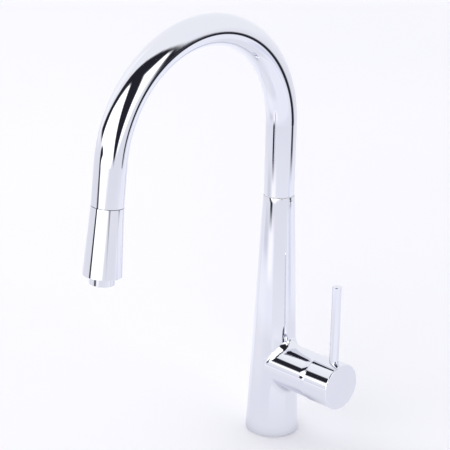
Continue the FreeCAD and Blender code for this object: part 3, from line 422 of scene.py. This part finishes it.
@dataclass(frozen=True)
class WovenNylon(BraidedNylon):
    """The hose's yarn where it is hidden: coarser crossing ridges on the object's own coordinates.

    A wave texture repeats every pi / 10 over its scale, so these ridges lie 10 mm apart.
    """

    name: str = "nylon_yarn_woven"
    wave_scale: float = 31.25
    wave_distortion: float = 0.4
    lean_deg: float = 45.0
    tip_deg: float = 40.0

    def dress(self, tree: bpy.types.NodeTree, shader: bpy.types.Node) -> None:
        """Two crossing families of ridges as colour and relief."""
        place = add_node(tree, "TexCoord")
        families = []
        for lean in (1.0, -1.0):
            turned = add_node(tree, "Mapping", inputs={
                "Vector": place.outputs["Object"],
                "Rotation": (math.radians(self.lean_deg * lean), math.radians(self.tip_deg), 0)})
            families.append(add_node(tree, "TexWave", {"bands_direction": "Z"}, {
                "Vector": turned.outputs[0], "Scale": self.wave_scale, "Distortion": self.wave_distortion}))
        crossed = add_node(tree, "Math", {"operation": "MULTIPLY"}, {
            0: families[0].outputs["Fac"], 1: families[1].outputs["Fac"]})
        fibres = self.blotches(tree, self.fibre_mm, 3.0)
        self.cover(tree, shader, crossed.outputs[0], fibres, crossed.outputs[0])


@dataclass(frozen=True)
class MattPaint(Finish):
    """Emulsion paint, rolled: matt and very pale, with the roller's faint stipple."""

    name: str = "emulsion_paint_rolled"
    first: str = "#F7F6FB"
    second: str = "#F9F8FC"
    cloud_mm: float = 900.0
    stipple_mm: float = 3.0
    roughness: float = 0.9
    specular: float = 0.1
    depth_mm: float = 0.02
    strength: float = 0.2

    def dress(self, tree: bpy.types.NodeTree, shader: bpy.types.Node) -> None:
        """Pale and matt with a faint stipple."""
        clouds = self.blotches(tree, self.cloud_mm, 2.0)
        tree.links.new(self.tints(tree, clouds, self.first, self.second), shader.inputs["Base Color"])
        shader.inputs["Roughness"].default_value = self.roughness
        shader.inputs["Specular IOR Level"].default_value = self.specular
        stipple = self.blotches(tree, self.stipple_mm, 2.0)
        self.relief(tree, shader, stipple, self.depth_mm, self.strength)


CHROME = PolishedChrome()
BRASS = TurnedBrass()
STAINLESS = Steel(SteelFace.STAINLESS.value[0], SteelFace.STAINLESS)
ZINC_STEEL = Steel(SteelFace.ZINC.value[0], SteelFace.ZINC)
MAGNET = Steel(SteelFace.NICKEL.value[0], SteelFace.NICKEL)
RUBBER = BlackRubber()
CERAMIC = Alumina()
WHITE_PLASTIC = MouldedPlastic(Resin.ACETAL_WHITE.value[0], Resin.ACETAL_WHITE)
MILKY_SILICONE = MouldedPlastic(Resin.SILICONE_MILKY.value[0], Resin.SILICONE_MILKY)
DARK_PLASTIC = MouldedPlastic(Resin.ABS_GREY.value[0], Resin.ABS_GREY)
BRAID = BraidedNylon()
PLAIN_BRAID = WovenNylon()


def dress_node(name: str, finish: Finish) -> None:
    """Gives a CAD node a finish through its object's material slots.

    Args:
        name: the CAD node.
        finish: the finish it gets.
    """
    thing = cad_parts[name]
    if not thing.material_slots:
        thing.data.materials.append(finish.material())
    for place in thing.material_slots:
        place.link = "OBJECT"
        place.material = finish.material()
    LOG.info("node %s: %s", name, finish.name)


def dress_nodes(finishes: dict[Finish, tuple[str, ...]]) -> None:
    """Dresses each CAD node named under a finish."""
    for finish, names in finishes.items():
        for name in names:
            dress_node(name, finish)


# ------------------------------------------------------------------ studio


@dataclass(frozen=True)
class Panel:
    """A panel or flag of the light tent, as an outline of (azimuth, elevation) corners in degrees."""

    name: str
    glow: tuple[float, float, float]
    outline: tuple[tuple[float, float], ...]
    soft: float = 3.0

    def cover(self, azimuth: np.ndarray, elevation: np.ndarray) -> np.ndarray:
        """How far the panel covers each direction.

        Args:
            azimuth: azimuths in degrees.
            elevation: elevations in degrees.

        Returns:
            0 outside, 1 inside, and between them across the panel's soft edge.
        """
        narrow = np.cos(np.radians(elevation))
        nearest = np.full(azimuth.shape, np.inf)
        inside = np.zeros(azimuth.shape, bool)
        corners = self.outline
        for (a0, e0), (a1, e1) in zip(corners, corners[1:] + corners[:1]):
            run = np.stack([(a1 - a0) * narrow, np.full_like(narrow, e1 - e0)])
            reach = np.stack([(azimuth - a0) * narrow, elevation - e0])
            share = np.clip((run * reach).sum(0) / np.maximum((run * run).sum(0), TINY), 0, 1)
            nearest = np.minimum(nearest, np.hypot(*(reach - share * run)))
            crosses = (e0 > elevation) != (e1 > elevation)
            if e1 != e0:
                inside ^= crosses & (azimuth < a0 + (elevation - e0) * (a1 - a0) / (e1 - e0))
        edge = np.where(inside, nearest, -nearest) / self.soft
        share = np.clip(0.5 + edge, 0, 1)
        return share * share * (3 - 2 * share)


@dataclass
class Studio:
    """Camera, pale floor, light tent and a soft lamp.

    The tent's wall stops are an elevation with its red, green and blue glow; below zero elevation they lie
    under the floor, where only mirrors see them, and paint the floor's reflection. The sheet paints the
    floor's reflection for mirrors. Its edges are an azimuth with the sheet's reach there, its painted shadow
    stops are a radius with a brightness, darker near the foot as a painted contact shadow, and each painted
    reflection band is a middle azimuth, a width, a near and a far radius, and a tint.
    """

    lens_mm: float = 137.1
    sensor_mm: float = 36.0
    clip_start: float = 0.01
    camera_place: tuple[float, float, float] = (0.99856, -1.09209, 0.72783)
    heading: float = 44.32
    pitch: float = 19.56
    roll: float = 1.2
    room: str = "#F6F6F9"
    floor_share: float = 0.98
    floor_sides: int = 96
    lamp_size: float = 2.4
    lamp_watts: float = 8.5
    lamp_place: tuple[float, float, float] = (-1.0, -0.9, 2.2)
    lamp_aim: tuple[float, float, float] = (0, -0.1, 0.15)
    tent_radius: float = 8.0
    tent_step: float = 1.5
    tent_centre: tuple[float, float, float] = (0, -0.1, 0.2)
    # Stops below zero elevation lie under the floor, where only mirrors see the tent: a painted reflection
    # of the floor.
    wall_and_floor_reflection_stops: tuple[tuple[float, float, float, float], ...] = (
        (-21, 1.05, 1.06, 1.12), (-18, 0.97, 0.98, 1.04), (-14, 0.93, 0.93, 0.98),
        (-8, 0.93, 0.935, 0.98), (12, 1.04, 1.05, 1.07))
    black: tuple[float, float, float] = (0.022, 0.022, 0.03)
    window: tuple[float, float, float] = (1.9, 1.9, 1.9)
    sheet_radii: tuple[float, ...] = (0.018, 0.03, 0.04, 0.055, 0.075, 0.1, 0.15, 0.2, 0.3, 0.4, 0.5, 0.56,
                                      0.6, 0.64, 0.68, 0.72, 0.76, 0.8, 0.84, 0.88, 0.92, 0.96, 1.0)
    sheet_edges: tuple[tuple[float, float], ...] = (
        (-180, 0.13), (-165, 0.13), (-155, 0.85), (-70, 0.81), (-60, 0.13), (8, 0.13), (18, 0.84),
        (80, 0.84), (90, 0.13), (180, 0.13))
    sheet_fade: float = 0.13
    sheet_step: float = 3.0
    sheet_height: float = -0.001
    band_fade: float = 0.08
    # Painted shadow: the floor's reflection grows darker towards the foot, a painted contact shadow.
    painted_shadow_stops: tuple[tuple[float, float], ...] = (
        (0.018, 0.60), (0.03, 0.72), (0.04, 0.84), (0.055, 0.89), (0.075, 0.90), (0.3, 0.90), (0.4, 1.0))
    # Painted reflection: the brightness and blue tint of the floor's reflection.
    painted_reflection_glow: tuple[float, float, float] = (1.045, 1.05, 1.12)
    # Painted reflection: bands of darker, lighter and bluish tint in the floor's reflection.
    painted_reflection_bands: tuple[tuple[float, float, float, float, tuple[float, float, float]], ...] = (
        (-130.0, 17.0, 0.62, 1.2, (0.77, 0.77, 0.78)), (-90.0, 14.0, 0.55, 1.2, (1.2, 1.18, 1.14)),
        (-130.0, 25.0, 0.15, 0.52, (1.06, 1.05, 1.03)), (29.0, 5.0, 0.40, 1.2, (0.80, 0.83, 0.88)))
    panels: tuple[Panel, ...] = field(default_factory=tuple)

    def __post_init__(self) -> None:
        """Hangs the tent's windows and flags."""
        self.panels = (
            Panel("side_window", (1.06, 1.06, 1.09), ((150, -3), (150, 45), (181, 60), (181, -4)), 14.0),
            Panel("side_window_far", (1.16, 1.16, 1.17), (
                (-181, -4), (-181, 60), (-150, 45), (-158, -2)), 8.0),
            Panel("front_window", self.window, (
                (-131, 8), (-122, 28), (-105, 42), (-77, 53), (-65, 50), (-55, 40), (-47, 25),
                (-40, 10), (-34, -4), (-46, -7), (-60, -8), (-72, -11), (-104, -11), (-112, -2),
                (-124, 6)), 5.0),
            Panel("right_window", self.window, (
                (-8, 36), (5, 30), (20, 23), (26, 14), (25, 4), (10, -3), (-14, -5), (-6, 8),
                (-5, 20)), 6.0),
            Panel("opening_edge", self.black, (
                (-157, 6), (-154, 10), (-142, 25), (-130, 42), (-120, 56), (-105, 65), (-85, 70), (-60, 72),
                (-30, 69), (-10, 63), (5, 54), (17, 39), (27, 20), (33, 7), (37, 0), (47, -12),
                (38, -13), (31, -3), (27, 4), (25, 16), (20, 24), (5, 31), (-13, 39), (-10, 33),
                (-6, 20), (-8, 7), (-17, -4), (-25, -8), (-32, -5), (-40, 10), (-47, 25), (-55, 40),
                (-65, 50), (-77, 53), (-92, 50), (-105, 42.5), (-120, 30), (-130, 12), (-132, 6)), 4.0),
            # The two low flags lie under the floor, where only mirrors see them: painted dark stripes in the
            # floor's reflection.
            Panel("painted_low_reflection_left", self.black, (
                (-124, 4), (-112, 7), (-101, 2), (-112, -4), (-112, -8), (-92, -12), (-90, -20), (-108, -20),
                (-110, -13), (-122, -9), (-123, -4)), 3.0),
            Panel("painted_low_reflection_right", self.black, (
                (37, -12), (50, -10.5), (60, -14), (58, -21), (43, -23.5), (34, -20)), 5.0),
        )

    def build(self) -> None:
        """Sets up the camera, floor, tent, lamp and colour handling."""
        self.place_camera()
        self.lay_floor()
        self.pitch_tent()
        self.paint_floor_reflection()
        self.hang_lamp()
        scene = bpy.context.scene
        scene.view_settings.view_transform = "Standard"
        world = bpy.data.worlds.new("pale_room")
        world.use_nodes = True
        world.node_tree.nodes["Background"].inputs[0].default_value = linear(self.room)
        scene.world = world

    def place_camera(self) -> None:
        """Puts the camera at the standing viewer's place."""
        lens = bpy.data.cameras.new("camera")
        lens.lens = self.lens_mm
        lens.sensor_width = self.sensor_mm
        lens.clip_start = self.clip_start
        camera = bpy.data.objects.new("camera", lens)
        turn = (Matrix.Rotation(math.radians(self.heading), 4, "Z")
                @ Matrix.Rotation(math.radians(90 - self.pitch), 4, "X")
                @ Matrix.Rotation(math.radians(self.roll), 4, "Z"))
        camera.matrix_world = Matrix.Translation(self.camera_place) @ turn
        bpy.context.scene.collection.objects.link(camera)
        bpy.context.scene.camera = camera

    def lay_floor(self) -> None:
        """A wide pale floor at the deck's height, which mirrors don't see: they see its painted reflection.
        """
        reach = self.tent_radius * self.floor_share
        rim = [(reach * math.cos(t), reach * math.sin(t), 0.0)
               for t in np.linspace(0, 2 * math.pi, self.floor_sides, endpoint=False)]
        mesh = bpy.data.meshes.new("floor")
        mesh.from_pydata(rim, [], [tuple(range(len(rim)))])
        mesh.materials.append(MattPaint().material())
        floor = bpy.data.objects.new("floor", mesh)
        floor.visible_glossy = False
        bpy.context.scene.collection.objects.link(floor)

    def pitch_tent(self) -> None:
        """The light tent: a glowing ball round the scene with its windows and dark flags."""
        # Under the floor only mirrors see the tent, so its lower half and low flags paint the floor's
        # reflection.
        azimuths = np.arange(-180, 180, self.tent_step)
        elevations = np.arange(-90, 90 + self.tent_step, self.tent_step)
        az, el = np.meshgrid(azimuths, elevations)
        az, el = az.ravel(), el.ravel()
        stops = np.array(self.wall_and_floor_reflection_stops)
        glow = np.stack([np.interp(el, stops[:, 0], stops[:, i]) for i in (1, 2, 3)], 1)
        for panel in self.panels:
            share = panel.cover(az, el)[:, None]
            glow = glow * (1 - share) + np.array(panel.glow) * share
        flat = np.cos(np.radians(el))
        points = self.tent_radius * np.stack([
            flat * np.cos(np.radians(az)), flat * np.sin(np.radians(az)), np.sin(np.radians(el))], 1)
        faces = ring_faces(len(elevations), len(azimuths))
        tent = self.glowing("light_tent", points + np.array(self.tent_centre), faces, glow)
        tent.visible_shadow = False

    def paint_floor_reflection(self) -> None:
        """The floor's painted reflection, which mirrors see instead of it: a sheet cut short on two sides.
        """
        # Hidden from camera and diffuse rays, it carries a painted contact shadow near the foot and painted
        # reflection bands.
        azimuths = np.arange(-180, 180, self.sheet_step)
        r, az = (axis.ravel() for axis in np.meshgrid(self.sheet_radii, azimuths, indexing="ij"))
        points = np.stack([r * np.cos(np.radians(az)), r * np.sin(np.radians(az)),
                           np.full(r.shape, self.sheet_height)], 1)
        faces = ring_faces(len(self.sheet_radii), len(azimuths))
        stops = np.array(self.sheet_edges)
        reach = np.interp(az, stops[:, 0], stops[:, 1])
        cover = np.clip((reach - r) / self.sheet_fade + 0.5, 0, 1)
        # Painted shadow: darker towards the foot.
        shade = np.interp(r, *np.array(self.painted_shadow_stops).T)
        glow = np.outer(shade, self.painted_reflection_glow)
        # Painted reflection bands: darker, lighter or bluish stripes across the sheet.
        for middle, width, near, far, tint in self.painted_reflection_bands:
            across = np.clip(1.5 - np.abs(az - middle) / width, 0, 1)
            along = (np.clip((r - near) / self.band_fade + 0.5, 0, 1)
                     * np.clip((far - r) / self.band_fade + 0.5, 0, 1))
            share = (across * along)[:, None]
            glow = glow * (1 - share) + glow * share * np.array(tint)
        sheet = self.glowing("painted_floor_reflection", points, faces, glow, cover)
        sheet.visible_diffuse = False
        sheet.visible_shadow = False

    def glowing(self, name: str, points: np.ndarray, faces: list[tuple], glow: np.ndarray,
                cover: np.ndarray | None = None) -> bpy.types.Object:
        """A staged surface hidden from the camera, each point with its own glow.

        Args:
            name: the object's name.
            points: its points, in metres.
            faces: its faces, as point numbers.
            glow: red, green and blue emission at each point.
            cover: how solid it is at each point, 0 clear and 1 solid; solid everywhere if left out.

        Returns:
            The new object.
        """
        mesh = bpy.data.meshes.new(name)
        mesh.from_pydata(points.tolist(), [], faces)
        paint = mesh.color_attributes.new("glow", "FLOAT_COLOR", "POINT")
        solid = np.ones(len(glow)) if cover is None else cover
        paint.data.foreach_set("color", np.hstack([glow, solid[:, None]]).astype("f").ravel())
        material = bpy.data.materials.get("tent_glow_and_painted_reflection") or self.tent_and_reflection_glow()
        mesh.materials.append(material)
        thing = bpy.data.objects.new(name, mesh)
        thing.visible_camera = False
        bpy.context.scene.collection.objects.link(thing)
        return thing

    def tent_and_reflection_glow(self) -> bpy.types.Material:
        """Glows by its points' colours: fabric lit from behind in the tent, painted reflection in the sheet.
        """
        material = bpy.data.materials.new("tent_glow_and_painted_reflection")
        material.use_nodes = True
        tree = material.node_tree
        tree.nodes.clear()
        colour = add_node(tree, "Attribute", {"attribute_name": "glow"})
        light = add_node(tree, "Emission", inputs={"Color": colour.outputs["Color"], "Strength": 1.0})
        clear = add_node(tree, "BsdfTransparent")
        mixed = add_node(tree, "MixShader", inputs={
            0: colour.outputs["Alpha"], 1: clear.outputs[0], 2: light.outputs[0]})
        add_node(tree, "OutputMaterial", inputs={"Surface": mixed.outputs[0]})
        material.cycles.emission_sampling = "NONE"
        return material

    def hang_lamp(self) -> None:
        """A large soft lamp overhead, which mirrors don't see."""
        light = bpy.data.lights.new("overhead_softbox", "AREA")
        light.shape = "DISK"
        light.size = self.lamp_size
        light.energy = self.lamp_watts
        lamp = bpy.data.objects.new("overhead_softbox", light)
        lamp.location = self.lamp_place
        aim = Vector(self.lamp_aim) - lamp.location
        lamp.rotation_euler = aim.to_track_quat("-Z", "Y").to_euler()
        lamp.visible_glossy = False
        bpy.context.scene.collection.objects.link(lamp)


@dataclass
class TurnedShell:
    """The body shell, whose taper curves in under the spout's seam.

    The turned curve is only a few millimetres tall. It matters because it sends a mirror's lines
    of sight up, so that the windows come back under the seam as small wedges.
    """

    name: str = "turned_shell"
    top: float = 0.2333
    curved: float = 0.0055
    bow: float = 0.100
    step: float = 0.0005
    foot_z: float = 0.001
    foot_radius: float = 0.025
    top_radius: float = 0.0144
    near_taper: float = 0.00003
    skin: float = 0.0006
    least_facing: float = 0.7
    height_slack: float = 1e-6
    spots_per_metre: float = 1e7

    def taper(self, z: float) -> float:
        """The straight taper's radius at a height."""
        fall = (self.foot_radius - self.top_radius) * (z - self.foot_z)
        return self.foot_radius - fall / (self.top - self.foot_z)

    def build(self) -> None:
        """Cuts rings into the top of a copy of the solid's mesh, draws them in and sets their normals."""
        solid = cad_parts["body_shell"]
        turn = np.array(solid.matrix_world.to_3x3().normalized())
        mesh = solid.data.copy()
        mesh.name = self.name
        old_normals = np.zeros(len(mesh.loops) * 3, "f")
        mesh.corner_normals.foreach_get("vector", old_normals)
        old_normals = old_normals.reshape(-1, 3) @ turn.T
        mesh.transform(solid.matrix_world)
        known = self.corners(mesh, old_normals)
        work = bmesh.new()
        work.from_mesh(mesh)
        for z in np.arange(self.top - self.curved, self.top - self.step / 2, self.step):
            bmesh.ops.bisect_plane(work, geom=work.verts[:] + work.edges[:] + work.faces[:],
                                   plane_co=(0, 0, float(z)), plane_no=(0, 0, 1))
        work.to_mesh(mesh)
        work.free()
        normals = self.new_normals(mesh, known)
        self.draw_in(mesh)
        mesh.shade_smooth()
        mesh.normals_split_custom_set(normals.tolist())
        mesh.materials.clear()
        mesh.materials.append(CHROME.material())
        shell = bpy.data.objects.new(self.name, mesh)
        bpy.context.scene.collection.objects.link(shell)
        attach(shell, "faucet_body")
        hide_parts("body_shell")
        LOG.info("%s: %d faces", self.name, len(mesh.polygons))

    def corners(self, mesh: bpy.types.Mesh, normals: np.ndarray) -> dict[tuple, list]:
        """The face and corner normals known at each point of the mesh.

        Args:
            mesh: the mesh before it is cut.
            normals: its corner normals, turned to the part's axes.

        Returns:
            For each rounded point, its pairs of face normal and corner normal.
        """
        known: dict[tuple, list] = {}
        for face in mesh.polygons:
            flat = np.array(face.normal)
            for loop in face.loop_indices:
                spot = self.spot(mesh.vertices[mesh.loops[loop].vertex_index].co)
                known.setdefault(spot, []).append((flat, normals[loop]))
        return known

    def spot(self, point: Vector) -> tuple[int, int, int]:
        """A point rounded to 0.1 micrometre."""
        x, y, z = (round(part * self.spots_per_metre) for part in point)
        return (x, y, z)

    def new_normals(self, mesh: bpy.types.Mesh, known: dict[tuple, list]) -> np.ndarray:
        """Corner normals for the cut mesh: the curve's own on its top, the known ones elsewhere.

        Args:
            mesh: the mesh after it is cut and before it is drawn in.
            known: what corners() found before the cut.

        Returns:
            One unit normal for each face corner.
        """
        lean = (self.foot_radius - self.top_radius) / (self.top - self.foot_z)
        normals = np.zeros((len(mesh.loops), 3))
        for face in mesh.polygons:
            flat = np.array(face.normal)
            for loop in face.loop_indices:
                point = mesh.vertices[mesh.loops[loop].vertex_index].co
                reach = math.hypot(point.x, point.y)
                outward = np.array((point.x / reach, point.y / reach, 0.0))
                height = point.z - (self.top - self.curved)
                near = abs(reach - self.taper(point.z)) < self.near_taper
                on_taper = near and flat @ outward > self.least_facing
                pairs = known.get(self.spot(point))
                if on_taper and height > -self.height_slack:
                    normal = outward + np.array((0, 0, lean + max(height, 0.0) / self.bow))
                elif pairs:
                    normal = max(pairs, key=lambda pair: float(pair[0] @ flat))[1]
                else:
                    normal = outward if flat @ outward > 0 else -outward
                normals[loop] = normal / np.linalg.norm(normal)
        return normals

    def draw_in(self, mesh: bpy.types.Mesh) -> None:
        """Moves the outer points of the top inwards along the curve."""
        for vertex in mesh.vertices:
            height = vertex.co.z - (self.top - self.curved)
            reach = math.hypot(vertex.co.x, vertex.co.y)
            if height <= 0 or reach < self.taper(vertex.co.z) - self.skin:
                continue
            less = 1 - height * height / (2 * self.bow) / reach
            vertex.co.x *= less
            vertex.co.y *= less


@dataclass
class SpringHose:
    """The braided hose just inside the spout's end, which draws out when the head is pulled.

    It hangs straight along the spout's last run, and its drawn part lies between the hose that
    stays in the spout and the connector on the head.
    """

    name: str = "drawn_hose"
    run_start: tuple[float, float, float] = (0.0, -0.204475, 0.304548)
    run_way: tuple[float, float, float] = (0.0, -0.09932, -0.99506)
    top: float = 0.0012
    bottom: float = 0.0335
    hold_top: float = 0.003
    hold_bottom: float = 0.030
    radius: float = 0.0059
    rings: int = 72
    sides: int = 48
    strands: int = 14
    strand_rise: float = 0.0021
    drawn: float = 0.18

    def build(self) -> None:
        """Makes the tube, with its braid laid out at the length it has when drawn."""
        way = Vector(self.run_way).normalized()
        right = way.cross(Vector((1, 0, 0))).normalized()
        front = right.cross(way)
        start = Vector(self.run_start)
        points, braid = [], []
        lengths = np.linspace(self.top, self.bottom, self.rings)
        for length in lengths:
            for side in range(self.sides):
                turn = 2 * math.pi * side / self.sides
                out = right * math.cos(turn) + front * math.sin(turn)
                points.append(start + way * length + out * self.radius)
        drawn = [self.drawn_length(length) for length in lengths]
        for ring in range(self.rings - 1):
            for side in range(self.sides):
                left, more = side / self.sides * self.strands, (side + 1) / self.sides * self.strands
                high, low = drawn[ring] / self.strand_rise, drawn[ring + 1] / self.strand_rise
                braid += [(left, high), (more, high), (more, low), (left, low)]
        mesh = bpy.data.meshes.new(self.name)
        mesh.from_pydata(points, [], ring_faces(self.rings, self.sides))
        layer = mesh.uv_layers.new(name="braid")
        layer.data.foreach_set("uv", np.array(braid, "f").ravel())
        mesh.shade_smooth()
        mesh.materials.append(BRAID.material())
        hose = bpy.data.objects.new(self.name, mesh)
        bpy.context.scene.collection.objects.link(hose)
        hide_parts("hose_end")
        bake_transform(hose)
        LOG.info("%s: %d points", self.name, len(points))

    def drawn_length(self, length: float) -> float:
        """Where a ring lies along the hose once the head is drawn all the way out."""
        share = min(max((length - self.hold_top) / (self.hold_bottom - self.hold_top), 0.0), 1.0)
        return length + self.drawn * share * share * (3 - 2 * share)


@dataclass
class CadNodes:
    """The CAD nodes that stay, each with its finish. The two that are replaced aren't listed."""

    finishes: dict[Finish, tuple[str, ...]] = field(default_factory=lambda: {
        CHROME: ("handle_cap", "lever_rod", "spout_tube", "head_shell", "nozzle_ring", "bonnet",
                 "grub_plug"),
        BRASS: ("threaded_shank", "valve_body", "cartridge_nut", "spout_spigot", "hose_connector",
                "connector_retainer"),
        STAINLESS: ("jack_screws", "swivel_stop_screw", "stem_pivot_pin", "handle_grub_screw", "spout_clip",
                    "hose_ferrule", "docking_steel_ring", "filter_screen", "cartridge_stem",
                    "mounting_nut"),
        ZINC_STEEL: ("base_plate", "clamp_washer"),
        MAGNET: ("dock_magnet",),
        MILKY_SILICONE: ("base_gasket",),
        RUBBER: ("rubber_washer", "cartridge_seals", "connector_orings", "aerator_washer"),
        CERAMIC: ("fixed_ceramic_disc", "moving_ceramic_disc"),
        WHITE_PLASTIC: ("cartridge_base", "cartridge_housing", "upper_bearing_ring", "lower_bearing_ring",
                        "check_valve", "disc_carrier", "cartridge_driver", "swivel_washer", "docking_collar",
                        "head_core"),
        DARK_PLASTIC: ("dock_insert", "aerator_insert"),
        PLAIN_BRAID: ("hose_in_body", "hose_in_spout"),
    })

    def build(self) -> None:
        """Dresses every node."""
        dress_nodes(self.finishes)


def main() -> None:
    """Builds and dresses everything in order."""
    logging.basicConfig(level=logging.INFO, format="%(message)s")
    Studio().build()
    CadNodes().build()
    TurnedShell().build()
    SpringHose().build()


if __name__ == "__main__":
    main()
